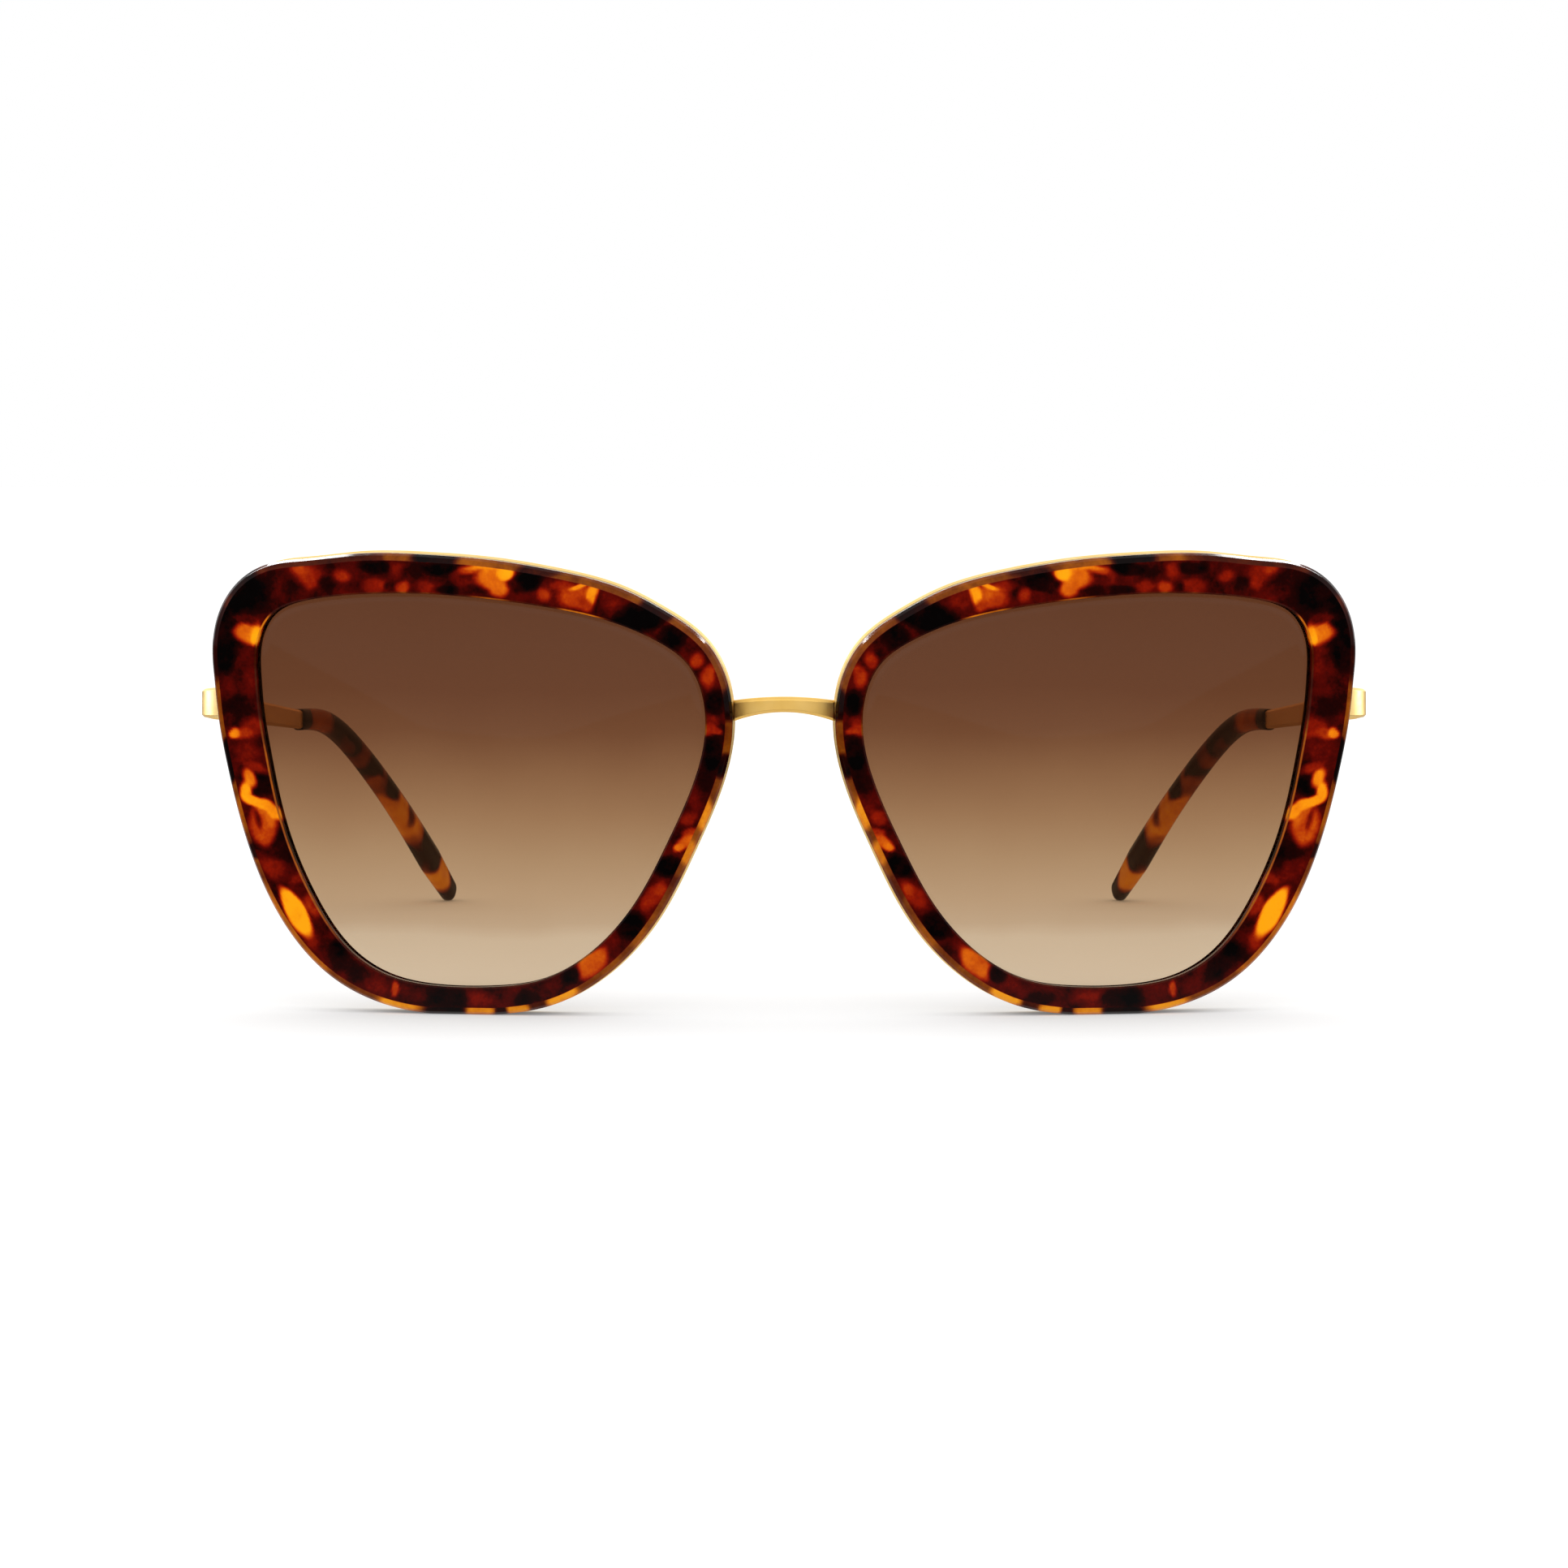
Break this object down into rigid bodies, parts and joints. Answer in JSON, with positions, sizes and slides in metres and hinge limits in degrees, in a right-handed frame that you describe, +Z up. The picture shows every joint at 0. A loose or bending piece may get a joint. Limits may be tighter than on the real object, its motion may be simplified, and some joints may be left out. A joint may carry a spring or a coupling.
{
  "type": "cat eye sunglasses",
  "caption": "Cat eye sunglasses with tortoise acetate rims on gold eyewires, brown gradient lenses, a gold bridge and folding metal temples with acetate tips.",
  "frame": {"origin": "on the surface that the open sunglasses stand on, midway between the two sides and midway between the front and the ends of the temples", "axes": "+Z up, -Y out of the front of the lenses, +Y back along the open temples, +X towards the wearer's left"},
  "size_m": [0.1468, 0.1477, 0.0574],
  "materials": {
    "tortoise_acetate": "polished tortoiseshell acetate",
    "gold_plated_metal": "polished gold plate",
    "gradient_lens": "brown tint, darker at the top"
  },
  "bodies": {
    "front": {"bridge": "gold_plated_metal", "left_rim": "tortoise_acetate", "left_eyewire": "gold_plated_metal", "left_lens": "gradient_lens", "left_nose_pad": "tortoise_acetate", "left_end_piece": "gold_plated_metal", "left_rim_lock_upper": "gold_plated_metal", "left_rim_lock_lower": "gold_plated_metal", "left_rim_lock_screw": "gold_plated_metal", "left_hinge_front_leaf": "gold_plated_metal", "left_hinge_screw": "gold_plated_metal", "right_rim": "tortoise_acetate", "right_eyewire": "gold_plated_metal", "right_lens": "gradient_lens", "right_nose_pad": "tortoise_acetate", "right_end_piece": "gold_plated_metal", "right_rim_lock_upper": "gold_plated_metal", "right_rim_lock_lower": "gold_plated_metal", "right_rim_lock_screw": "gold_plated_metal", "right_hinge_front_leaf": "gold_plated_metal", "right_hinge_screw": "gold_plated_metal"},
    "left_temple": {"left_hinge_temple_leaf": "gold_plated_metal", "left_temple_arm": "gold_plated_metal", "left_temple_tip": "tortoise_acetate"},
    "right_temple": {"right_hinge_temple_leaf": "gold_plated_metal", "right_temple_arm": "gold_plated_metal", "right_temple_tip": "tortoise_acetate"}
  },
  "joints": [
    {"name": "left_temple_fold", "type": "hinge", "parent": "front", "child": "left_temple", "pos_m": [0.07075, -0.05295, 0.0375], "axis": [0, 0.0906, 0.9959], "range_deg": [0, 84]},
    {"name": "right_temple_fold", "type": "hinge", "parent": "front", "child": "right_temple", "pos_m": [-0.07075, -0.05295, 0.0375], "axis": [0, -0.0906, -0.9959], "range_deg": [0, 81]}
  ]
}
